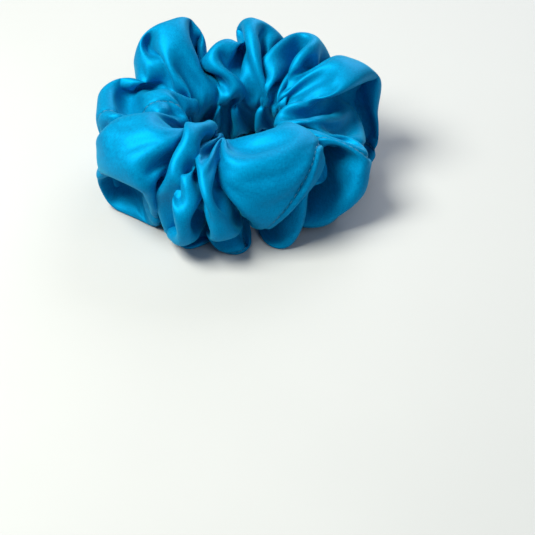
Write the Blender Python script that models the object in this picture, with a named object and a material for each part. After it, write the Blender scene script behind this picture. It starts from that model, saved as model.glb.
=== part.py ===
"""A large satin scrunchie: a gathered fabric sleeve around a stitched elastic loop.

Metres, +Z up. The origin is on the table, under the middle of the loop. +X is the loop's long way
across and +Y points away from the front. The sleeve, the elastic and the long seam each go all the way
round. They are modelled in halves that meet in two valleys between gathers, at the back and at the
front, so that the right half can be pulled away from the left one along X.
"""

import math

import bmesh
import bpy

# The elastic: a flat braided band whose ends overlap.
LOOP_WIDTH = 0.056  # across the middle of the band, along X
LOOP_DEPTH = 0.046  # across the middle of the band, along Y
LOOP_HEIGHT = 0.028  # the middle of the band above the table
LOOP_MIDDLE = (0.0009, 0.0003)  # the gathers stand out unevenly, so the band is a little off the middle
BAND_WIDTH = 0.006
BAND_THICKNESS = 0.0012
BAND_OVERLAP_DEG = 18.0  # how far the two ends lie on each other
BAND_START_DEG = 186.0

# The sleeve: a cloth tube, thicker here than the cloth because its small folds fill the wall.
SLEEVE_WALL = 0.0018
BAND_CLEARANCE = 0.0018  # between the band and the wall on the loop's inner side
VALLEY_REACH = 0.022  # how far the sleeve stands out from the band between two gathers
VALLEY_CROWN = 0.020  # how far it stands above the band there
VALLEY_LIFT = 0.007  # how far it clears the table there
HOLE_SCALLOP = 0.0012  # how far a gather bulges into the hole
SETTLE = 0.0022  # how much of a gather's round underside is pressed flat on the table
PART_GAP = 0.0003  # between faces that touch

# The sewing thread.
THREAD_RADIUS = 0.00025
SEAM_SIDE_DEG = 205.0  # the long seam's place round the sleeve: 0 inside, 90 on top, 180 outside
SEAM_DEPTH = 0.0014  # how far the thread's middle lies inside the wall
CLOSING_STANDOFF = 0.0007  # the closing thread's clearance in its valley
STITCH_PITCH = 0.0021
STITCH_TURNS = 5

# Each gather: the angle that it takes up, how far it stands out from the band, and how far above it.
GATHERS = {
    "right": [
        (30.0, 0.0365, 0.0310),
        (40.0, 0.0355, 0.0290),
        (18.0, 0.0335, 0.0260),
        (40.0, 0.0370, 0.0300),
        (20.0, 0.0350, 0.0310),
        (27.0, 0.0355, 0.0310),
    ],
    "left": [
        (20.0, 0.0340, 0.0280),
        (42.0, 0.0360, 0.0320),
        (26.0, 0.0360, 0.0270),
        (31.0, 0.0365, 0.0300),
        (14.0, 0.0330, 0.0260),
        (22.0, 0.0345, 0.0260),
        (30.0, 0.0360, 0.0280),
    ],
}
FRONT_VALLEY_DEG = -79.0  # where the right half begins; gathers follow each other anticlockwise
CLOSING_VALLEY = 3  # the tube's two ends are joined after this many of the left half's gathers
RIDGE_ROUNDNESS = 0.62  # below 1 makes broad round ridges and narrow valleys
SECTIONS_PER_GATHER = 7
POINTS_PER_SECTION = 18
BAND_STEP_DEG = 5.0
HALF_GAP_DEG = math.degrees(PART_GAP / min(LOOP_WIDTH, LOOP_DEPTH))

SATIN = (0.0, 0.33, 0.60, 1.0)
THREAD = (0.0, 0.24, 0.48, 1.0)
ELASTIC = (0.86, 0.86, 0.84, 1.0)


def clear_scene():
    for obj in list(bpy.data.objects):
        bpy.data.objects.remove(obj)


def material(name, colour, roughness):
    made = bpy.data.materials.new(name)
    made.use_nodes = True
    shader = made.node_tree.nodes["Principled BSDF"]
    shader.inputs["Base Color"].default_value = colour
    shader.inputs["Roughness"].default_value = roughness
    shader.inputs["Metallic"].default_value = 0.0
    return made


def loop_point(degrees, out, height):
    """The point at this angle round the loop, a distance out from the band's middle, at this height."""
    angle = math.radians(degrees)
    half_width, half_depth = LOOP_WIDTH / 2, LOOP_DEPTH / 2
    across, away = math.cos(angle) / half_width, math.sin(angle) / half_depth
    length = math.hypot(across, away)
    x = LOOP_MIDDLE[0] + half_width * math.cos(angle) + out * across / length
    y = LOOP_MIDDLE[1] + half_depth * math.sin(angle) + out * away / length
    return x, y, height


def gather_spans():
    """Each half's gathers as (first angle, last angle, reach, crown), scaled to close the circle."""
    total = sum(breadth for gathers in GATHERS.values() for breadth, _, _ in gathers)
    spans, start = {}, FRONT_VALLEY_DEG
    for half, gathers in GATHERS.items():
        spans[half] = []
        for breadth, reach, crown in gathers:
            end = start + breadth * 360.0 / total
            spans[half].append((start, end, reach, crown))
            start = end
    return spans


def sections(spans):
    """Sections along some gathers, each (angle, share of the way from valley to ridge, reach, crown).

    The first and the last one stand back from the other half by half of the gap between them.
    """
    found = []
    for number, (start, end, reach, crown) in enumerate(spans):
        first = 0 if number == 0 else 1
        for step in range(first, SECTIONS_PER_GATHER + 1):
            along = step / SECTIONS_PER_GATHER
            ridge = max(0.0, math.sin(math.pi * along)) ** RIDGE_ROUNDNESS
            found.append((start + (end - start) * along, ridge, reach, crown))
    found[0] = (found[0][0] + HALF_GAP_DEG, *found[0][1:])
    found[-1] = (found[-1][0] - HALF_GAP_DEG, *found[-1][1:])
    return found


def section_point(section, side_degrees, inset):
    """A point on a section of the sleeve: half ovals above and below the band, less an inset from its face."""
    degrees, ridge, ridge_reach, ridge_crown = section
    reach = VALLEY_REACH + (ridge_reach - VALLEY_REACH) * ridge
    crown = VALLEY_CROWN + (ridge_crown - VALLEY_CROWN) * ridge
    drop = LOOP_HEIGHT - VALLEY_LIFT + (VALLEY_LIFT + SETTLE) * ridge
    inner = BAND_THICKNESS / 2 + BAND_CLEARANCE + SLEEVE_WALL + HOLE_SCALLOP * ridge
    side = math.radians(side_degrees)
    out = (reach - inner) / 2 - ((reach + inner) / 2 - inset) * math.cos(side)
    half_height = (crown if math.sin(side) > 0 else drop) - inset
    height = LOOP_HEIGHT + half_height * math.sin(side)
    return loop_point(degrees, out, max(height, inset))


def mesh_object(name, points, faces, finish):
    """A closed, smooth-shaded mesh object from points and faces that already point outwards."""
    mesh = bpy.data.meshes.new(name)
    shape = bmesh.new()
    corners = [shape.verts.new(point) for point in points]
    for face in faces:
        shape.faces.new([corners[index] for index in face])
    bmesh.ops.recalc_face_normals(shape, faces=shape.faces)
    shape.to_mesh(mesh)
    shape.free()
    mesh.shade_smooth()
    mesh.set_sharp_from_angle(angle=math.radians(50))
    mesh.materials.append(finish)
    made = bpy.data.objects.new(name, mesh)
    bpy.context.scene.collection.objects.link(made)
    return made


def tube_faces(columns, rows, closed_ring):
    """The quads of a grid of columns of points, wrapped round its rows and, if asked, round its columns."""
    faces = []
    for column in range(columns if closed_ring else columns - 1):
        following = (column + 1) % columns
        for row in range(rows):
            above = (row + 1) % rows
            faces.append(
                (column * rows + row, following * rows + row, following * rows + above, column * rows + above)
            )
    return faces


def sleeve(half, finish):
    """One half of the sleeve: an outer and an inner skin, joined by a flat rim at each end."""
    along = sections(gather_spans()[half])
    sides = [360.0 * row / POINTS_PER_SECTION for row in range(POINTS_PER_SECTION)]
    points = [section_point(section, side, 0.0) for section in along for side in sides]
    points += [section_point(section, side, SLEEVE_WALL) for section in along for side in sides]
    skin = tube_faces(len(along), POINTS_PER_SECTION, closed_ring=False)
    inner_start = len(along) * POINTS_PER_SECTION
    faces = list(skin)
    faces += [tuple(inner_start + index for index in reversed(face)) for face in skin]
    for rim in (0, (len(along) - 1) * POINTS_PER_SECTION):
        for row in range(POINTS_PER_SECTION):
            above = (row + 1) % POINTS_PER_SECTION
            faces.append(
                (rim + row, rim + above, inner_start + rim + above, inner_start + rim + row)
            )
    return mesh_object(f"sleeve_{half}", points, faces, finish)


def band_offset(degrees):
    """How far out the band's middle lies: the last end climbs over the first one, with a gap between."""
    climb = BAND_THICKNESS + PART_GAP
    turn_end = BAND_START_DEG + 360.0
    ramp = (degrees - (turn_end - BAND_OVERLAP_DEG)) / BAND_OVERLAP_DEG
    share = min(1.0, max(0.0, ramp))
    return climb * share * share * (3 - 2 * share)


def elastic(name, first_deg, last_deg, finish):
    """The flat band between two angles, which may run past a full turn."""
    count = max(2, round((last_deg - first_deg) / BAND_STEP_DEG))
    points = []
    for section in range(count + 1):
        degrees = first_deg + (last_deg - first_deg) * section / count
        middle = band_offset(degrees)
        for out, up in ((-1, -1), (-1, 1), (1, 1), (1, -1)):
            points.append(
                loop_point(degrees, middle + out * BAND_THICKNESS / 2, LOOP_HEIGHT + up * BAND_WIDTH / 2)
            )
    faces = tube_faces(count + 1, 4, closed_ring=False)
    last = count * 4
    faces += [(0, 1, 2, 3), (last + 3, last + 2, last + 1, last)]
    return mesh_object(name, points, faces, finish)


def elastic_pieces(finish):
    """The band, cut where the halves meet. Its two ends lie on each other on the left."""
    spans = gather_spans()
    front = spans["left"][-1][1]
    back = spans["left"][0][0] + 360.0
    elastic("elastic_front_left", BAND_START_DEG, front - HALF_GAP_DEG, finish)
    elastic("elastic_right", front + HALF_GAP_DEG, back - HALF_GAP_DEG, finish)
    elastic("elastic_back_left", back + HALF_GAP_DEG, BAND_START_DEG + 360.0 + BAND_OVERLAP_DEG, finish)


def thread(name, points, closed_ring, finish):
    """A round sewing thread along a line of points."""
    curve = bpy.data.curves.new(name, "CURVE")
    curve.dimensions = "3D"
    curve.bevel_depth = THREAD_RADIUS
    curve.bevel_resolution = 1
    curve.use_fill_caps = True
    spline = curve.splines.new("POLY")
    spline.points.add(len(points) - 1)
    for place, point in zip(spline.points, points, strict=True):
        place.co = (*point, 1.0)
    spline.use_cyclic_u = closed_ring
    curve.materials.append(finish)
    made = bpy.data.objects.new(name, curve)
    bpy.context.scene.collection.objects.link(made)
    return made


def seam_thread(half, finish):
    """One half of the long seam's thread, just inside the sleeve's wall."""
    along = sections(gather_spans()[half])
    inset = SLEEVE_WALL + SEAM_DEPTH
    points = [section_point(section, SEAM_SIDE_DEG, inset) for section in along]
    return thread(f"seam_thread_{half}", points, False, finish)


def closing_thread(finish):
    """The thread round the sleeve's outside, in the valley where the tube's two ends are joined."""
    start, _, reach, crown = gather_spans()["left"][CLOSING_VALLEY]
    inset = -(CLOSING_STANDOFF + THREAD_RADIUS)
    sides = [360.0 * row / POINTS_PER_SECTION for row in range(POINTS_PER_SECTION)]
    points = [section_point((start, 0.0, reach, crown), side, inset) for side in sides]
    return thread("closing_thread", points, True, finish)


def elastic_stitching(finish):
    """The thread wound round the band where its two ends lie on each other, as a row of square turns."""
    middle = BAND_START_DEG + BAND_OVERLAP_DEG / 2
    outer_layer = band_offset(middle + 360.0)
    room = PART_GAP + THREAD_RADIUS
    inner = -BAND_THICKNESS / 2 - room
    outer = outer_layer + BAND_THICKNESS / 2 + room
    half_height = BAND_WIDTH / 2 + room
    corners = ((inner, -1), (inner, 1), (outer, 1), (outer, -1))
    pitch_deg = math.degrees(STITCH_PITCH / (LOOP_WIDTH / 2))
    points = []
    for turn in range(STITCH_TURNS):
        for number, (out, up) in enumerate(corners):
            steps = turn + number / len(corners) - STITCH_TURNS / 2
            points.append(loop_point(middle + pitch_deg * steps, out, LOOP_HEIGHT + up * half_height))
    return thread("elastic_stitching", points, False, finish)


def build():
    clear_scene()
    satin = material("satin", SATIN, 0.32)
    sewing = material("sewing_thread", THREAD, 0.5)
    braid = material("elastic_braid", ELASTIC, 0.8)
    for half in GATHERS:
        sleeve(half, satin)
        seam_thread(half, sewing)
    elastic_pieces(braid)
    elastic_stitching(sewing)
    closing_thread(sewing)


build()
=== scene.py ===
"""The scrunchie's looks: its gathered satin cover, seams, thread and elastic, with light and camera.

The cover is a tube of cloth sewn into a ring. It starts as a ring of gathers, and a small
cloth solver, with self-contact and a floor, then grows it towards its cut size. Metres, +Z up.
"""

import math
from typing import NamedTuple

import bpy
import numpy as np
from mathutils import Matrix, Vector


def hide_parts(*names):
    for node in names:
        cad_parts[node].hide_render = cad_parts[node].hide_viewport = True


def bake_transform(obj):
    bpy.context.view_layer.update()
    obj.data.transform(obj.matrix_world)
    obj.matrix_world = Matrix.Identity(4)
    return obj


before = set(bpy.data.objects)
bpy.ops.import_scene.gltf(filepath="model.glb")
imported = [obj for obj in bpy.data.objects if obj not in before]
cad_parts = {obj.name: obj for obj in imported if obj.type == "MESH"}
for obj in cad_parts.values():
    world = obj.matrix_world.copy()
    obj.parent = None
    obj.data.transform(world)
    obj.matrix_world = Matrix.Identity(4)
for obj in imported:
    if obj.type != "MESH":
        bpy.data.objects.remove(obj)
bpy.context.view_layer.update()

MM = 0.001

# The elastic's loop, as in the frame.
LOOP_WIDTH = 56 * MM
LOOP_DEPTH = 46 * MM
LOOP_HEIGHT = 28 * MM
LOOP_MIDDLE = (0.9 * MM, 0.3 * MM)
BAND_WIDTH = 6 * MM
BAND_THICKNESS = 1.2 * MM
BAND_START_DEG = 186.0
BAND_OVERLAP_DEG = 18.0
BAND_LAYER_GAP = 0.3 * MM  # between the two layers where it overlaps
BAND_DRAWN = 0.9  # the rounded strip's thickness and width, as a share of the flat one's
BRAID_REPEATS = 175
BRAID_RIBS = 12

# The cloth: the tube's cut length and its way round, and how finely it is divided.
CUT_LENGTH = 550 * MM
CUT_ROUND = 150 * MM
ROWS, COLUMNS = 320, 72  # along the tube, and round it; each a multiple of eight
HOLE_SIDE = 4.5 * MM  # from the elastic's middle to the cover's line in the hole
INNER_CLOTH = 0.7  # the share of the cut length that shows as folds along the hole; the rest is tiny pleats
INNER_BAND = 0.25  # how far round the section that share takes to reach the whole length
FLOOR_GAP = 0.4 * MM

# The solver.
STEPS = 600
GROW_STEPS = 0.6  # the share of the steps in which the cloth grows
SEARCH_STEPS = 8  # how many steps use one list of the layers that are near each other
SEARCH_REACH = 1.5  # how far that search looks, as a multiple of the least distance
SAME_FOLD = 2  # points up to this many rows and columns apart are never in contact
CONTACT = 1.35 * MM  # the least distance between two layers
HOLE_CONTACT = 0.35  # that distance along the hole, as a share
HOLE_BAND = 0.12  # how far round the section that share takes to reach the whole distance
HOLE_HOLD = 0.3  # how strongly the line in the hole is held in place
CONTACT_PUSH = 0.4  # how much of a contact is put right in one step
GUIDE_PULL = 0.025  # how strongly the cloth is drawn to the planned shape at first
GUIDE_STEPS = 0.85  # the share of the steps in which that pull fades away
HOLLOW_HOLD = 4.0  # how much more strongly a hollow keeps to the planned shape
HOLLOW_CALM = 0.8  # how much less the cloth grows in a hollow, as a share
START_NOISE_MM = 0.2  # how far each point is shaken before the first step
FALL = 0.004 * MM  # gravity, as a distance in each step
BEND_SHORT = 0.6  # how strongly the links that skip one point push
BEND_LONG = 0.2  # and those that skip three
SPEED_KEPT = 0.9  # from one step to the next
FLOOR_SPEED_KEPT = 0.5  # of the sideways speed on the floor
TOP_SPEED = 0.6 * MM  # the farthest that a point moves in one step
ELASTIC_CLEAR_SIDE = 3.0 * MM  # half the space kept for the elastic, across it
ELASTIC_CLEAR_UP = 4.4 * MM  # and up it
SEED = 3

# The cloth's links: how many rows and columns on the other point is, and the share of a wrong length that
# each end puts right in one step, when the link is too long and when it is too short.
LINKS = [
    (1, 0, 0.5, 0.35),
    (0, 1, 0.5, 0.35),
    (1, 1, 0.25, 0.1),
    (1, -1, 0.25, 0.1),
    (2, 0, 0.0, BEND_SHORT / 2),
    (0, 2, 0.0, BEND_SHORT / 2),
    (4, 0, 0.0, BEND_LONG / 2),
    (0, 4, 0.0, BEND_LONG / 2),
]


class Gather(NamedTuple):
    """One gather of the cover. Angles are in degrees, anticlockwise from +X; lengths are in millimetres."""

    top: float  # where its crown starts
    bottom: float  # where its underside starts
    cloth: float  # its share of the cloth
    reach: float  # how far it stands out from the elastic
    crown: float  # how far it stands above it
    lift: float = 1.0  # how high its underside is
    crown_out: float = 0.0  # how far its crown is shifted outwards
    under_out: float = 0.0  # how far its underside is
    tilt: float = 0.0  # how much its crown rises from its start to its end, as a share
    roundness: float = 0.8  # below 1 is a broad ridge, above 1 a pointed one
    hold: float = 1.0  # how strongly the cloth keeps to the planned shape
    crumple: float = 0.75  # how far the cloth grows, from the planned size (0) to its cut size (1)


GATHERS = {
    "front_panel": Gather(
        -105, -83, 1.10, 30, 17, 14, 3, 0, tilt=0.4, roundness=0.5, hold=1.5, crumple=0.25
    ),
    "flap": Gather(-33, -77, 0.45, 24, 0, 0, 0, 17, hold=2, crumple=0.2),
    "front_right": Gather(-31, -62, 1.40, 33, 8, 7, 1, 9, tilt=-1.2, hold=1.5, crumple=0.25),
    "right_valley": Gather(-15, -23, 0.60, 24, 2, 1, 0, 11),
    "right_cup": Gather(-3, -7, 1.50, 34, 24, 4, 9, 6, hold=2, crumple=0.2),
    "leaf": Gather(38, 35, 1.10, 32, 25, 4, 1, 1, hold=1.5),
    "back": Gather(61, 60, 1.10, 32, 28, 1, 1, 4),
    "back_ridge": Gather(90, 94, 0.50, 27, 22, 2, 0, 5),
    "peak": Gather(103, 106, 1.50, 33, 32, 2, 8, 4, tilt=-0.4, hold=1.5, crumple=0.3),
    "left_strip": Gather(148, 150, 0.95, 33, 15, 3, 4, 4),
    "front_left_dome": Gather(187, 194, 1.30, 36, 21, 2, 2, 7, roundness=0.5, hold=2, crumple=0.15),
    "loop": Gather(238, 230, 0.50, 30, 16, 3, 2, 6),
    "frill": Gather(246, 238, 0.85, 33, 9, 0, 2, 12, hold=1.5),
    "tube": Gather(250, 257, 1.15, 34, 13, 0, 3, 12, hold=1.5, crumple=0.3),
}
VALLEY = Gather(0, 0, 0, reach=17, crown=11, lift=9)  # only these three values of it are used
RIDGE_SPREAD = 0.12  # how much more of the way round the middle of a gather takes than its ends

# Each hollow: its gather, how far along it (0 to 1) and round the section (0 in the hole, 0.25 on top,
# 0.5 outside, 0.75 below), its width along and round and its depth in millimetres, and the way it goes in.
HOLLOWS = [
    ("front_left_dome", 0.58, 0.60, 11, 14, 25, (0.15, 1.0, 0.15)),
    ("tube", 0.55, 0.635, 13, 7, 14, (0.0, 1.0, 0.2)),
    ("frill", 0.45, 0.64, 11, 7, 11, (0.0, 1.0, 0.2)),
    ("front_right", 0.18, 0.50, 12, 17, 32, (-0.15, 1.0, 0.1)),
    ("front_right", 0.70, 0.64, 11, 6, 10, (-0.2, 1.0, 0.2)),
    ("leaf", 0.50, 0.145, 10, 17, 20, (0.4, 0.7, -0.5)),
    ("back", 0.78, 0.19, 6, 14, 14, (0.0, 0.9, -0.4)),
    ("back", 0.14, 0.19, 5, 12, 11, (0.0, 0.9, -0.4)),
    ("peak", 0.20, 0.18, 9, 16, 18, (-0.3, 0.8, -0.5)),
    ("peak", 0.72, 0.27, 5, 5, 10, (-0.1, 0.7, -0.7)),
    ("right_cup", 0.13, 0.44, 17, 22, 34, (0.1, 1.0, -0.2)),
    ("left_strip", 0.45, 0.28, 14, 7, 8, (0.2, 0.3, -0.9)),
    ("left_strip", 0.55, 0.55, 7, 15, 14, (1.0, -0.1, 0.1)),
    ("peak", 0.28, 0.50, 7, 18, 16, (0.2, -1.0, 0.0)),
    ("peak", 0.72, 0.63, 10, 7, 11, (0.4, -1.0, 0.3)),
    ("back", 0.40, 0.48, 6, 20, 14, (-0.2, -1.0, 0.0)),
    ("leaf", 0.55, 0.52, 7, 15, 14, (-0.7, -0.8, 0.2)),
    ("right_cup", 0.72, 0.60, 10, 9, 13, (-0.9, -0.4, 0.2)),
]
HOLLOW_CLEAR = 0.05  # how far round the section the hollows stay from the hole

# The long seam wanders as the tube twists: its gather, how far along it, and how far round the section.
SEAM_PATH = [
    ("front_panel", 0.25, 0.68),
    ("front_panel", 0.45, 0.64),
    ("front_panel", 0.80, 0.31),
    ("front_right", 0.15, 0.28),
    ("front_right", 0.80, 0.45),
    ("right_cup", 0.50, 0.60),
    ("back", 0.50, 0.58),
    ("peak", 0.50, 0.56),
    ("left_strip", 0.60, 0.50),
    ("front_left_dome", 0.35, 0.51),
    ("front_left_dome", 0.68, 0.53),
    ("front_left_dome", 0.88, 0.64),
    ("tube", 0.50, 0.70),
]
CLOSING_GATHER, CLOSING_ALONG = "left_strip", 0.80
SEAM_WIDTH = 1.2 * MM
SEAM_DEPTH = 0.9 * MM
STITCH_LENGTH = 2.2 * MM
STITCH_GAP = 0.7 * MM
THREAD_RADIUS = 0.16 * MM
LIP_PLACE = 2.6 * SEAM_WIDTH  # the folded allowance lies beside the long seam
LIP_WIDTH = 1.3 * SEAM_WIDTH
LIP_HEIGHT = 0.5  # as a share of the groove's depth
CLOSING_DEPTH = 0.7  # the closing seam's groove, as a share of the long one's

# A stitch's strand: places along it as shares of its length, and its height there in thread radii.
STITCH_PLACES = [0.0, 0.12, 0.35, 0.65, 0.88, 1.0]
STITCH_HEIGHTS = [-1.6, 0.1, 0.6, 0.6, 0.1, -1.6]
STITCH_SIDES = 6

# The satin's grain, each size along the tube and round it.
FLOAT_SIZE = (0.45 * MM, 1.9 * MM)
YARN_SIZE = (1.6 * MM, 0.35 * MM)
SLUB_SIZE = (22 * MM, 9 * MM)
PUCKER_SIZE = (2.6 * MM, 2.6 * MM)
SEAM_SHADE_MM = 0.8  # how far the painted shade in the seams' grooves reaches from the seam
PUCKER_REACH_MM = 5.0  # and how far the puckers do

# Colours.
SATIN_DARK = (0.0, 0.105, 0.28, 1.0)
SATIN_LIGHT = (0.0, 0.305, 0.61, 1.0)
# painted shade: the satin's colour deep in the seams' grooves
SATIN_SEAM_SHADE = (0.0, 0.03, 0.09, 1.0)
THREAD_DARK = (0.0, 0.10, 0.24, 1.0)
THREAD_LIGHT = (0.01, 0.24, 0.44, 1.0)
ELASTIC_DARK = (0.55, 0.55, 0.52, 1.0)
ELASTIC_LIGHT = (0.88, 0.88, 0.86, 1.0)
FLOOR_DARK = (0.46, 0.465, 0.485, 1.0)
FLOOR_LIGHT = (0.49, 0.495, 0.515, 1.0)


# ---------------------------------------------------------------- shapes


def loop_point(angle, out, height):
    """A point at an angle round the elastic's oval, a distance out along the oval's normal, at a height."""
    half_width, half_depth = LOOP_WIDTH / 2, LOOP_DEPTH / 2
    across, away = np.cos(angle) / half_width, np.sin(angle) / half_depth
    length = np.hypot(across, away)
    x = LOOP_MIDDLE[0] + half_width * np.cos(angle) + out * across / length
    y = LOOP_MIDDLE[1] + half_depth * np.sin(angle) + out * away / length
    return np.stack(np.broadcast_arrays(x, y, height), -1)


def grid_normals(points):
    """The outward normals of a grid closed both ways: the cross product of its two central differences."""
    along = np.roll(points, -1, 0) - np.roll(points, 1, 0)
    around = np.roll(points, -1, 1) - np.roll(points, 1, 1)
    normals = np.cross(around, along)
    return normals / (np.linalg.norm(normals, axis=-1, keepdims=True) + 1e-12)


def gather_edges():
    """The row, as a real number, at which each gather starts, by the gathers' shares of the cloth."""
    shares = np.array([gather.cloth for gather in GATHERS.values()])
    return np.concatenate([[0], np.cumsum(shares)]) / shares.sum() * ROWS


def gather_row(name, along):
    """The row at a place along a gather."""
    edges = gather_edges()
    number = list(GATHERS).index(name)
    return edges[number] + along * (edges[number + 1] - edges[number])


def gather_numbers():
    """The number of every row's gather in the list."""
    number = np.searchsorted(gather_edges(), np.arange(ROWS), side="right") - 1
    return np.clip(number, 0, len(GATHERS) - 1)


def gather_by_row():
    """Every row's gather, as one Gather whose values are arrays, and how far along that gather it lies."""
    edges, number = gather_edges(), gather_numbers()
    values = np.array(list(GATHERS.values()), float)[number]
    return Gather(*values.T), (np.arange(ROWS) - edges[number]) / (edges[number + 1] - edges[number])


def next_starts():
    """Where the following gather starts, for every row: its top and bottom angles."""
    starts = [(gather.top, gather.bottom) for gather in GATHERS.values()]
    starts.append((starts[0][0] + 360, starts[0][1] + 360))
    return np.array(starts, float)[gather_numbers() + 1].T


def hollows():
    """Each hollow's steep-sided bell over the cloth, from 0 to 1, and how it is pressed in, as a vector."""
    for name, place_along, place_round, width_along, width_round, depth, way in HOLLOWS:
        rows_off = (np.arange(ROWS) - gather_row(name, place_along) + ROWS / 2) % ROWS - ROWS / 2
        round_off = (np.arange(COLUMNS) / COLUMNS - place_round + 0.5) % 1 - 0.5
        u = rows_off[:, None] * CUT_LENGTH / ROWS / (width_along * MM)
        v = round_off[None] * CUT_ROUND / (width_round * MM)
        from_hole = np.abs((np.arange(COLUMNS) / COLUMNS + 0.5) % 1 - 0.5)
        clear = np.clip((from_hole - HOLLOW_CLEAR) / HOLLOW_CLEAR, 0, 1)
        yield np.exp(-((u * u + v * v) ** 1.5)) * clear, np.array(way) / np.linalg.norm(way) * depth * MM


def gathered_ring():
    """The ring of gathers that the cloth starts from.

    Each section is a half oval above the elastic and one below it. Between two valleys, its reach, crown
    and underside swell with a power of a sine. A gather's top and bottom each turn through their own
    angles, so it can lean. The hollows are then pressed in.
    """
    gather, along = gather_by_row()
    share = along - RIDGE_SPREAD * np.sin(2 * np.pi * along)
    next_top, next_bottom = next_starts()
    top = gather.top + (next_top - gather.top) * share
    bottom = gather.bottom + (next_bottom - gather.bottom) * share
    side = np.arange(COLUMNS) / COLUMNS * 2 * np.pi
    rise, inward = np.sin(side), np.cos(side)
    angle = np.radians(bottom[:, None] + (top - bottom)[:, None] * (1 + rise) / 2)
    ridge = np.sin(np.pi * along) ** gather.roundness
    crown = gather.crown * (1 + gather.tilt * (along - 0.5))
    reach = (VALLEY.reach + (gather.reach - VALLEY.reach) * ridge)[:, None] * MM
    crown = (VALLEY.crown + (crown - VALLEY.crown) * ridge)[:, None] * MM
    drop = LOOP_HEIGHT - (VALLEY.lift + (gather.lift - VALLEY.lift) * ridge)[:, None] * MM
    shift = np.where(rise > 0, gather.crown_out[:, None], -gather.under_out[:, None]) * rise * ridge[:, None]
    out = (reach - HOLE_SIDE) / 2 - (reach + HOLE_SIDE) / 2 * inward + shift * MM
    height = LOOP_HEIGHT + np.where(rise > 0, crown, drop) * rise
    points = loop_point(angle, out, height)
    for bell, push in hollows():
        points += bell[..., None] * push
    points[..., 2] = np.maximum(points[..., 2], FLOOR_GAP)
    return points


# ---------------------------------------------------------------- the cloth solver


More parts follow.
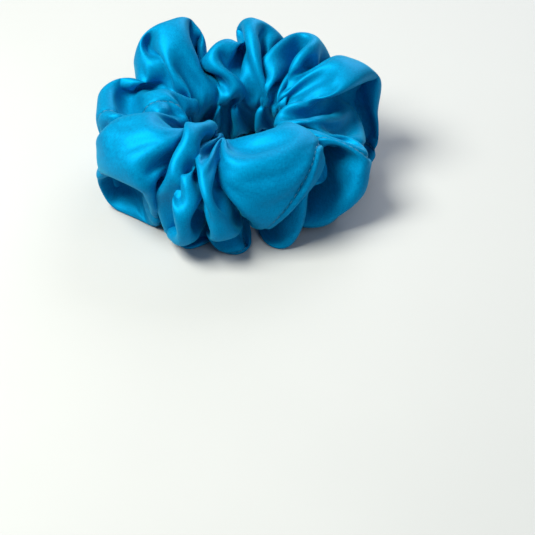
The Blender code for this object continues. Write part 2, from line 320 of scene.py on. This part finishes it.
class Cloth:
    """Points joined by links that pull them to a rest length, moved by repeated position corrections.

    Links to the next point carry stretch, diagonal ones shear, and ones that skip a point or three only
    push, which is the cloth's bending. Their rest lengths grow from the start shape's towards the cut
    size, as far as each gather's crumple says, and less in a hollow.
    """

    def __init__(self, start):
        self.start = start.reshape(-1, 3)
        noise = np.random.default_rng(SEED).normal(size=self.start.shape)
        self.points = self.start + noise * START_NOISE_MM * MM
        self.speed = np.zeros_like(self.points)
        column = np.arange(COLUMNS) / COLUMNS
        from_hole = np.minimum(column, 1 - column)
        ease = np.clip(from_hole / INNER_BAND, 0, 1)
        self.ease = INNER_CLOTH + (1 - INNER_CLOTH) * ease * ease * (3 - 2 * ease)
        radius = CONTACT * (HOLE_CONTACT + (1 - HOLE_CONTACT) * np.clip(from_hole / HOLE_BAND, 0, 1))
        self.radius = np.tile(radius, ROWS)
        self.hole_line = np.arange(ROWS) * COLUMNS
        gather, _ = gather_by_row()
        hollow = np.max([bell for bell, _ in hollows()], axis=0)
        self.hold = (gather.hold[:, None] + HOLLOW_HOLD * hollow).reshape(-1, 1) * GUIDE_PULL
        crumple = (gather.crumple[:, None] * (1 - HOLLOW_CALM * hollow)).ravel()
        self.links = []
        for rows, columns, pull, push in LINKS:
            self.add_links(rows, columns, pull, push, crumple)

    def add_links(self, rows, columns, pull, push, crumple):
        """Link every point to the one that is some rows and columns on, in two sets that share no point."""
        index = np.arange(ROWS * COLUMNS).reshape(ROWS, COLUMNS)
        other = np.roll(np.roll(index, -rows, 0), -columns, 1)
        length = rows * CUT_LENGTH / ROWS * self.ease
        rest = np.broadcast_to(np.hypot(length, columns * CUT_ROUND / COLUMNS), index.shape)
        if rows:
            group = np.broadcast_to((np.arange(ROWS) // rows % 2)[:, None], index.shape)
        else:
            group = np.broadcast_to(np.arange(COLUMNS) // columns % 2, index.shape)
        for part in (0, 1):
            chosen = group == part
            first, second = index[chosen], other[chosen]
            now = np.linalg.norm(self.start[first] - self.start[second], axis=1)
            grown = now + (rest[chosen] - now) * crumple[first]
            self.links.append((first, second, now, grown, pull, push))

    def hold_lengths(self, growth):
        """Move each link's two ends towards its rest length."""
        for first, second, now, grown, pull, push in self.links:
            gap = self.points[first] - self.points[second]
            length = np.sqrt(np.einsum("ij,ij->i", gap, gap)) + 1e-12
            off = (length - now * (1 - growth) - grown * growth) / length
            gap *= (off * np.where(off > 0, pull, push))[:, None]
            self.points[first] -= gap
            self.points[second] += gap

    def find_contacts(self):
        """List the pairs of points that are near in space but not on the cloth, by cells of space."""
        reach = CONTACT * SEARCH_REACH
        cell = ((self.points - self.points.min(0) + reach) / reach).astype(np.int64)
        size = cell.max(0) + 3
        key = (cell[:, 0] * size[1] + cell[:, 1]) * size[2] + cell[:, 2]
        order = np.argsort(key, kind="stable")
        key = key[order]
        me = np.arange(len(key))
        firsts, seconds = [], []
        for x, y in ((0, 0), (0, 1), (1, -1), (1, 0), (1, 1)):
            offset = (x * size[1] + y) * size[2]
            begin = me + 1 if offset == 0 else np.searchsorted(key, key + offset - 1, side="left")
            count = np.maximum(np.searchsorted(key, key + offset + 1, side="right") - begin, 0)
            before = np.concatenate([[0], np.cumsum(count)[:-1]])
            firsts.append(order[np.repeat(me, count)])
            seconds.append(order[np.arange(count.sum()) + np.repeat(begin - before, count)])
        first, second = np.concatenate(firsts), np.concatenate(seconds)
        gap = self.points[first] - self.points[second]
        near = np.einsum("ij,ij->i", gap, gap) < reach * reach
        first, second = first[near], second[near]
        rows = np.abs(first // COLUMNS - second // COLUMNS)
        columns = np.abs(first % COLUMNS - second % COLUMNS)
        rows, columns = np.minimum(rows, ROWS - rows), np.minimum(columns, COLUMNS - columns)
        apart = (rows > SAME_FOLD) | (columns > SAME_FOLD)
        self.first, self.second = first[apart], second[apart]
        self.least = (self.radius[self.first] + self.radius[self.second]) / 2

    def push_layers_apart(self):
        """Push apart the listed pairs that are closer than cloth on cloth can be."""
        gap = self.points[self.first] - self.points[self.second]
        length = np.sqrt(np.einsum("ij,ij->i", gap, gap)) + 1e-9
        hit = length < self.least
        first, second = self.first[hit], self.second[hit]
        push = gap[hit] * ((self.least[hit] / length[hit] - 1) * CONTACT_PUSH)[:, None]
        total = len(self.points)
        hits = np.bincount(first, minlength=total) + np.bincount(second, minlength=total)
        share = 1 / np.maximum(1, hits / 2)
        for axis in range(3):
            moved = np.bincount(first, push[:, axis], total) - np.bincount(second, push[:, axis], total)
            self.points[:, axis] += moved * share

    def clear_elastic(self):
        """Push points that are in the elastic out to an oval round its section."""
        x, y = self.points[:, 0] - LOOP_MIDDLE[0], self.points[:, 1] - LOOP_MIDDLE[1]
        line = loop_point(np.arctan2(y / LOOP_DEPTH, x / LOOP_WIDTH), 0.0, LOOP_HEIGHT)
        gap = self.points - line
        gap[:, 2] *= ELASTIC_CLEAR_SIDE / ELASTIC_CLEAR_UP
        length = np.sqrt(np.einsum("ij,ij->i", gap, gap)) + 1e-9
        inside = length < ELASTIC_CLEAR_SIDE
        push = (ELASTIC_CLEAR_SIDE / length[inside])[:, None]
        self.points[inside] = line[inside] + (self.points - line)[inside] * push

    def step(self, time):
        """One step, at a time that runs from 0 to 1."""
        growth = min(1.0, time / GROW_STEPS)
        self.speed *= SPEED_KEPT
        before = self.points.copy()
        self.speed[:, 2] -= FALL
        self.points += self.speed
        if time < GUIDE_STEPS:
            self.points += (self.start - self.points) * self.hold * (1 - time / GUIDE_STEPS)
        self.hold_lengths(growth * growth * (3 - 2 * growth))
        self.push_layers_apart()
        self.clear_elastic()
        hole_off = self.start[self.hole_line] - self.points[self.hole_line]
        self.points[self.hole_line] += hole_off * HOLE_HOLD
        low = self.points[:, 2] < FLOOR_GAP
        self.points[low, 2] = FLOOR_GAP
        self.speed = self.points - before
        fast = np.maximum(np.linalg.norm(self.speed, axis=1), 1e-9)
        self.speed *= np.minimum(1, TOP_SPEED / fast)[:, None]
        self.points = before + self.speed
        self.speed[low, :2] *= FLOOR_SPEED_KEPT

    def settle(self):
        """Run all steps and return the cloth's points as a grid."""
        for number in range(STEPS):
            if number % SEARCH_STEPS == 0:
                self.find_contacts()
            self.step(number / STEPS)
        return self.points.reshape(ROWS, COLUMNS, 3)


def refine(points):
    """Twice the points both ways, by the cubic spline's rule: (1, 6, 1)/8 on a point, 1/2 between two."""
    for axis in (0, 1):
        before, after = np.roll(points, 1, axis), np.roll(points, -1, axis)
        on, between = (before + 6 * points + after) / 8, (points + after) / 2
        shape = list(points.shape)
        shape[axis] *= 2
        points = np.stack([on, between], axis + 1).reshape(shape)
    return points


# ---------------------------------------------------------------- meshes


def link_piece(name, mesh, material):
    """A piece with one smooth mesh and one material, at the origin."""
    mesh.shade_smooth()
    mesh.materials.append(material)
    piece = bpy.data.objects.new(name, mesh)
    bpy.context.scene.collection.objects.link(piece)
    return piece


def closed_tube_faces(rows, columns):
    """The quads of a grid closed both ways, facing outwards."""
    index = np.arange(rows * columns).reshape(rows, columns)
    on, up = np.roll(index, -1, 0), np.roll(index, -1, 1)
    return np.stack([index, up, np.roll(on, -1, 1), on], -1).reshape(-1, 4)


def fill_mesh(name, points, faces):
    """A mesh of quads from whole arrays of points and faces."""
    mesh = bpy.data.meshes.new(name)
    mesh.vertices.add(len(points))
    mesh.vertices.foreach_set("co", points.astype(np.float32).ravel())
    mesh.loops.add(faces.size)
    mesh.loops.foreach_set("vertex_index", faces.astype(np.int32).ravel())
    mesh.polygons.add(len(faces))
    mesh.polygons.foreach_set("loop_start", np.arange(0, faces.size, 4, dtype=np.int32))
    mesh.update(calc_edges=True)
    mesh.validate()
    return mesh


def set_uv(mesh, uv):
    """Give a mesh its cloth coordinates, one pair for each corner."""
    mesh.uv_layers.new(name="cloth").uv.foreach_set("vector", uv.astype(np.float32).ravel())


def closed_tube_uv(rows, columns):
    """Each quad's corners in cloth coordinates: 0 to 1 along the tube and 0 to 1 round it."""
    row, column = np.meshgrid(np.arange(rows), np.arange(columns), indexing="ij")
    corners = [(0, 0), (0, 1), (1, 1), (1, 0)]
    uv = [np.stack([(row + x) / rows, (column + y) / columns], -1) for x, y in corners]
    return np.stack(uv, 2).reshape(-1, 2)


def set_attribute(mesh, name, values):
    """Give a mesh a named number at each point."""
    mesh.attributes.new(name, "FLOAT", "POINT").data.foreach_set("value", values.astype(np.float32).ravel())


def seam_place(rows):
    """How far round the section the long seam lies at every row: smooth steps between its path's points."""
    known = np.array([gather_row(name, along) * rows / ROWS for name, along, _ in SEAM_PATH])
    value = np.array([place for _, _, place in SEAM_PATH])
    known = np.concatenate([[known[-1] - rows], known, [known[0] + rows]])
    value = np.concatenate([[value[-1]], value, [value[0]]])
    row = np.arange(rows)
    number = np.searchsorted(known, row, side="right") - 1
    share = (row - known[number]) / (known[number + 1] - known[number])
    return value[number] + (value[number + 1] - value[number]) * share * share * (3 - 2 * share)


def long_seam_distance(rows, columns):
    """How far each point of the grid lies from the long seam across it, in metres and with a sign."""
    place = seam_place(rows)
    slope = (np.roll(place, -1) - np.roll(place, 1)) * CUT_ROUND / (2 * CUT_LENGTH / rows)
    off = (np.arange(columns) / columns - place[:, None] + 0.5) % 1 - 0.5
    return off * CUT_ROUND / np.sqrt(1 + slope * slope)[:, None]


def along_seam(grid):
    """The values of a grid along the long seam, read between its columns."""
    rows, columns = grid.shape[:2]
    place = seam_place(rows) * columns
    first = np.floor(place).astype(int)
    share = (place - first)[:, None]
    row = np.arange(rows)
    return grid[row, first % columns] * (1 - share) + grid[row, (first + 1) % columns] * share


def closing_seam_distance(rows):
    """How far each row of the grid lies from the closing seam, along the cloth, in metres."""
    place = gather_row(CLOSING_GATHER, CLOSING_ALONG) / ROWS
    row = np.arange(rows)[:, None] / rows
    return ((row - place + 0.5) % 1 - 0.5) * CUT_LENGTH


def sew(points):
    """Press both seams into the cloth as bell-shaped grooves, with a lip beside the long one.

    Also gives each point's distance from the nearer seam.
    """
    rows, columns = points.shape[:2]
    normals = grid_normals(points)
    along, across = long_seam_distance(rows, columns), closing_seam_distance(rows)
    groove = np.exp(-((along / SEAM_WIDTH) ** 2)) + CLOSING_DEPTH * np.exp(-((across / SEAM_WIDTH) ** 2))
    lip = LIP_HEIGHT * np.exp(-(((along - LIP_PLACE) / LIP_WIDTH) ** 2))
    moved = points + normals * ((lip - groove) * SEAM_DEPTH)[..., None]
    moved[..., 2] = np.maximum(moved[..., 2], FLOOR_GAP / 2)
    seam = np.minimum(np.abs(along), np.abs(across))
    return moved, seam


def make_cover(points, seam, material):
    """The whole cover as one closed surface, with its cloth coordinates and its distance from the seams."""
    rows, columns = points.shape[:2]
    mesh = fill_mesh("satin_cover", points.reshape(-1, 3), closed_tube_faces(rows, columns))
    set_uv(mesh, closed_tube_uv(rows, columns))
    set_attribute(mesh, "seam_distance", seam / MM)
    return link_piece("satin_cover", mesh, material)


def stitched_line(name, path, normals, material):
    """A row of stitches along a closed path on the cloth: short round strands whose ends dip into it."""
    steps = np.linalg.norm(np.roll(path, -1, 0) - path, axis=1)
    place = np.concatenate([[0], np.cumsum(steps)])
    ring = np.vstack([path, path[:1]])
    outward = np.vstack([normals, normals[:1]])
    count = int(place[-1] / (STITCH_LENGTH + STITCH_GAP))
    pitch = place[-1] / count
    share = np.array(STITCH_PLACES)
    lift = np.array(STITCH_HEIGHTS) * THREAD_RADIUS
    around = np.arange(STITCH_SIDES) / STITCH_SIDES * 2 * np.pi
    where = (np.arange(count)[:, None] * pitch + share * STITCH_LENGTH).ravel()
    middle = np.stack([np.interp(where, place, ring[:, axis]) for axis in range(3)], -1)
    up = np.stack([np.interp(where, place, outward[:, axis]) for axis in range(3)], -1)
    up /= np.linalg.norm(up, axis=1, keepdims=True)
    ahead = np.gradient(middle.reshape(count, len(share), 3), axis=1).reshape(-1, 3)
    aside = np.cross(ahead, up)
    aside /= np.linalg.norm(aside, axis=1, keepdims=True) + 1e-12
    middle += up * np.tile(lift, count)[:, None]
    circle = up[:, None] * np.sin(around)[:, None] + aside[:, None] * np.cos(around)[:, None]
    points = (middle[:, None] + circle * THREAD_RADIUS).reshape(-1, 3)
    index = np.arange(len(points)).reshape(count, len(share), STITCH_SIDES)
    on, up_one = index[:, 1:], np.roll(index, -1, 2)
    sides = np.stack([index[:, :-1], up_one[:, :-1], up_one[:, 1:], on], -1).reshape(-1, 4)
    caps = []
    for end, order in ((0, (0, 5, 4, 3, 2, 1)), (len(share) - 1, (0, 1, 2, 3, 4, 5))):
        corner = index[:, end][:, list(order)]
        caps += [corner[:, [0, 1, 2, 3]], corner[:, [0, 3, 4, 5]]]
    faces = np.vstack([sides, *caps])
    return link_piece(name, fill_mesh(name, points, faces), material)


def make_elastic(material):
    """The flat braid: a strip with a rounded oblong section, once round the oval and on over its start."""
    count, sides = 300, 20
    turn = np.radians(np.linspace(0, 360 + BAND_OVERLAP_DEG, count + 1))
    ramp = np.clip((np.degrees(turn) - 360) / BAND_OVERLAP_DEG + 1, 0, 1)
    climb = (BAND_THICKNESS + BAND_LAYER_GAP) * ramp * ramp * (3 - 2 * ramp)
    side = np.arange(sides) / sides * 2 * np.pi
    across, up = np.cos(side), np.sin(side)
    squareness = np.maximum(np.abs(across), np.abs(up)) ** 0.6
    out = climb[:, None] + across / squareness * BAND_THICKNESS / 2 * BAND_DRAWN
    height = LOOP_HEIGHT + up / squareness * BAND_WIDTH / 2 * BAND_DRAWN
    angle = np.radians(BAND_START_DEG) + turn[:, None]
    points = loop_point(angle, out, np.broadcast_to(height, out.shape))
    index = np.arange(points[..., 0].size).reshape(count + 1, sides)
    up_one = np.roll(index, -1, 1)
    faces = np.stack([index[:-1], index[1:], up_one[1:], up_one[:-1]], -1).reshape(-1, 4)
    caps = []
    for end in (index[0], index[-1][::-1]):
        for step in range(1, sides - 2, 2):
            caps.append([end[0], end[step], end[step + 1], end[step + 2]])
    mesh = fill_mesh("elastic_band", points.reshape(-1, 3), np.vstack([faces, caps]))
    row, column = np.meshgrid(np.arange(count + 1), np.arange(sides), indexing="ij")
    set_attribute(mesh, "braid_along", row / count * BRAID_REPEATS)
    set_attribute(mesh, "braid_across", np.abs(column / sides - 0.5) * BRAID_RIBS)
    return link_piece("elastic_band", mesh, material)


# ---------------------------------------------------------------- materials


class Value:
    """A shader socket on which arithmetic adds Math nodes."""

    def __init__(self, tree, socket):
        self.tree = tree
        self.socket = socket

    def math(self, operation, *operands):
        """The outcome of a Math node on values and plain numbers."""
        node = self.tree.nodes.new("ShaderNodeMath")
        node.operation = operation
        for place, operand in zip(node.inputs, operands):
            if isinstance(operand, Value):
                self.tree.links.new(operand.socket, place)
            else:
                place.default_value = operand
        return Value(self.tree, node.outputs[0])

    def __add__(self, other):
        return self.math("ADD", self, other)

    __radd__ = __add__

    def __sub__(self, other):
        return self.math("SUBTRACT", self, other)

    def __rsub__(self, other):
        return self.math("SUBTRACT", other, self)

    def __mul__(self, other):
        return self.math("MULTIPLY", self, other)

    __rmul__ = __mul__

    def __truediv__(self, other):
        return self.math("DIVIDE", self, other)

    def sine(self):
        return self.math("SINE", self)

    def clamped(self):
        return self.math("MINIMUM", self.math("MAXIMUM", self, 0.0), 1.0)


class Surface:
    """A material with a Principled shader, and one method that adds any other node."""

    def __init__(self, name, **fixed):
        self.material = bpy.data.materials.new(name)
        self.material.use_nodes = True
        self.tree = self.material.node_tree
        self.principled = self.tree.nodes["Principled BSDF"]
        for socket, value in fixed.items():
            self.principled.inputs[socket.replace("_", " ")].default_value = value

    def add(self, kind, settings=None, values=None, output=0):
        """Add a node with its settings, and link or set its sockets."""
        node = self.tree.nodes.new(kind)
        for setting, value in (settings or {}).items():
            setattr(node, setting, value)
        for socket, value in (values or {}).items():
            if isinstance(value, Value):
                self.tree.links.new(value.socket, node.inputs[socket])
            else:
                node.inputs[socket].default_value = value
        return Value(self.tree, node.outputs[output])

    def attribute(self, name):
        """A number that is stored at each of the piece's points."""
        return self.add("ShaderNodeAttribute", {"attribute_name": name}, output="Fac")

    def cloth_noise(self, size, detail=1.0):
        """Noise on the cloth's own coordinates, with grains of a size along the tube and round it."""
        layer = self.add("ShaderNodeUVMap", {"uv_map": "cloth"})
        repeats = (CUT_LENGTH / size[0], CUT_ROUND / size[1], 1.0)
        place = self.add("ShaderNodeVectorMath", {"operation": "MULTIPLY"}, {0: layer, 1: repeats})
        return self.noise(place, 1.0, detail)

    def place(self):
        """The piece's own coordinates, in metres."""
        return self.add("ShaderNodeTexCoord", output="Object")

    def noise(self, vector, scale, detail=2.0, roughness=0.5):
        values = {"Vector": vector, "Scale": scale, "Detail": detail, "Roughness": roughness}
        return self.add("ShaderNodeTexNoise", None, values)

    def mix(self, factor, first, second):
        settings = {"data_type": "RGBA"}
        return self.add("ShaderNodeMix", settings, {0: factor, 6: first, 7: second}, output=2)

    def bump(self, height, distance, strength=1.0):
        values = {"Height": height, "Distance": distance, "Strength": strength}
        return self.add("ShaderNodeBump", None, values)

    def feed(self, **links):
        """Link values to the Principled shader's sockets, and give the finished material."""
        for socket, value in links.items():
            self.tree.links.new(value.socket, self.principled.inputs[socket.replace("_", " ")])
        return self.material


def satin():
    """Deep teal satin: long weft floats that shine, tiny slubs, puckers, and painted shade as a dark line in
    the seams' grooves.
    """
    surface = Surface(
        "satin",
        Metallic=0.4,
        Specular_IOR_Level=0.35,
        Specular_Tint=(0.02, 0.75, 0.82, 1.0),
        Sheen_Weight=0.25,
        Sheen_Roughness=0.35,
        Sheen_Tint=(0.05, 0.75, 0.9, 1.0),
    )
    grain = (surface.cloth_noise(FLOAT_SIZE) + surface.cloth_noise(YARN_SIZE)) * 0.5
    slubs = surface.cloth_noise(SLUB_SIZE, 3.0)
    seam = surface.attribute("seam_distance")
    # painted shade along the seams: full in the groove, fading out a short way from it
    line = (1.0 - seam / SEAM_SHADE_MM).clamped()
    beside = (1.0 - seam / PUCKER_REACH_MM).clamped()
    puckers = surface.cloth_noise(PUCKER_SIZE) * beside * beside
    tone = ((grain - 0.5) * 1.3 + (slubs - 0.5) * 0.5 + 0.5).clamped()
    colour = surface.mix(tone, SATIN_DARK, SATIN_LIGHT)
    # lays the painted seam shade over the satin's own tone
    colour = surface.mix(line * 0.85, colour, SATIN_SEAM_SHADE)
    height = grain * 0.14 + puckers * 0.9
    return surface.feed(
        Base_Color=colour,
        Roughness=0.58 + (grain - 0.5) * 0.25 + (slubs - 0.5) * 0.06,
        Normal=surface.bump(height, 0.35 * MM, 0.6),
    )


def sewing_thread():
    """Spun polyester: a soft sheen with fine plies."""
    surface = Surface("sewing_thread", Sheen_Weight=0.3, Specular_IOR_Level=0.4)
    plies = surface.noise(surface.place(), 6000.0, 2.0)
    return surface.feed(
        Base_Color=surface.mix(plies, THREAD_DARK, THREAD_LIGHT),
        Roughness=0.5 + (plies - 0.5) * 0.3,
        Normal=surface.bump(plies, 0.05 * MM, 0.5),
    )


def elastic_braid():
    """White braided elastic: ribs along the band, crossed by the braid's slanting yarns."""
    surface = Surface("elastic_braid", Sheen_Weight=0.2, Specular_IOR_Level=0.3)
    along, across = surface.attribute("braid_along"), surface.attribute("braid_across")
    ribs = (across * 6.3).sine() * 0.5 + 0.5
    yarns = (along * 7.0 + across * 4.0).sine() * (along * 7.0 - across * 4.0).sine() * 0.5 + 0.5
    fuzz = surface.noise(surface.place(), 2500.0, 3.0)
    weave = ribs * 0.6 + yarns * 0.4
    tone = (weave * 0.7 + fuzz * 0.3).clamped()
    return surface.feed(
        Base_Color=surface.mix(tone, ELASTIC_DARK, ELASTIC_LIGHT),
        Roughness=0.75 + (fuzz - 0.5) * 0.2,
        Normal=surface.bump(weave + fuzz * 0.2, 0.2 * MM, 0.8),
    )


def pale_floor():
    """A pale, nearly even table top."""
    surface = Surface("pale_floor", Specular_IOR_Level=0.2)
    cloud = surface.noise(surface.place(), 9.0, 4.0)
    return surface.feed(
        Base_Color=surface.mix(cloud, FLOOR_DARK, FLOOR_LIGHT),
        Roughness=0.55 + (cloud - 0.5) * 0.1,
    )


# ---------------------------------------------------------------- light and camera

CAMERA_RISE_DEG = 37.0  # how far above the table the camera sees the object from
CAMERA_DISTANCE = 0.92
CAMERA_AIM = (13.4 * MM, -61.0 * MM, 0.0)
FOCAL_LENGTH = 141.0
SENSOR = 36.0
FLOOR_HALF = 2.0


def add_camera():
    """A long lens from the front and above, aimed in front of the object and a little to its right."""
    camera = bpy.data.cameras.new("camera")
    camera.lens = FOCAL_LENGTH
    camera.sensor_width = SENSOR
    holder = bpy.data.objects.new("camera", camera)
    rise = math.radians(CAMERA_RISE_DEG)
    holder.location = Vector((0, -math.cos(rise), math.sin(rise))) * CAMERA_DISTANCE
    holder.rotation_euler = (Vector(CAMERA_AIM) - holder.location).to_track_quat("-Z", "Y").to_euler()
    bpy.context.scene.collection.objects.link(holder)
    bpy.context.scene.camera = holder


def add_light(name, place, size, power, colour=(1.0, 1.0, 1.0)):
    """A square soft light at a place, turned to the object."""
    light = bpy.data.lights.new(name, "AREA")
    light.size = size
    light.energy = power
    light.color = colour
    holder = bpy.data.objects.new(name, light)
    holder.location = place
    to_object = Vector((0, 0, LOOP_HEIGHT)) - Vector(place)
    holder.rotation_euler = to_object.to_track_quat("-Z", "Y").to_euler()
    bpy.context.scene.collection.objects.link(holder)


def add_studio():
    """A pale bluish room with three soft lights, and the floor."""
    world = bpy.data.worlds.new("studio")
    world.use_nodes = True
    background = world.node_tree.nodes["Background"]
    background.inputs["Color"].default_value = (0.62, 0.80, 1.0, 1.0)
    background.inputs["Strength"].default_value = 0.18
    bpy.context.scene.world = world
    add_light("key", (-0.45, -0.10, 0.75), 0.45, 15.0, (1.0, 1.0, 0.87))
    add_light("fill", (0.55, -0.55, 0.45), 0.6, 1.5, (0.92, 0.97, 1.0))
    add_light("rim", (0.30, 0.70, 0.45), 0.5, 4.0)
    corners = np.array([(-1, -1, 0), (1, -1, 0), (1, 1, 0), (-1, 1, 0)]) * FLOOR_HALF
    floor = fill_mesh("floor", corners, np.array([(0, 1, 2, 3)]))
    link_piece("floor", floor, pale_floor())
    bpy.context.scene.view_settings.view_transform = "Standard"


# ---------------------------------------------------------------- the object


def build():
    """Make every piece, hide the parts of model.glb that the pieces replace, and give the elastic's
    stitching the thread.
    """
    add_camera()
    add_studio()
    start = gathered_ring()
    cloth = Cloth(start).settle()
    points, seam = sew(refine(cloth))
    thread = sewing_thread()

    cover = make_cover(points, seam, satin())
    normals = grid_normals(points)
    long_seam = stitched_line("long_seam", along_seam(points), along_seam(normals), thread)
    row = round(gather_row(CLOSING_GATHER, CLOSING_ALONG) * len(points) / ROWS)
    closing_seam = stitched_line("closing_seam", points[row], normals[row], thread)
    band = make_elastic(elastic_braid())

    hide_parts("sleeve_left", "sleeve_right")
    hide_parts("seam_thread_left", "seam_thread_right")
    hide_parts("closing_thread")
    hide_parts("elastic_front_left", "elastic_back_left", "elastic_right")
    # Each piece and the name of its slot; the loop only bakes the piece's place into its mesh.
    for piece, slot in (
        (cover, "satin"),
        (long_seam, "sewing_thread"),
        (closing_seam, "sewing_thread"),
        (band, "elastic_braid"),
    ):
        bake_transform(piece)
    stitching = bpy.data.objects["elastic_stitching"]
    for place in stitching.material_slots:
        place.material = thread


build()
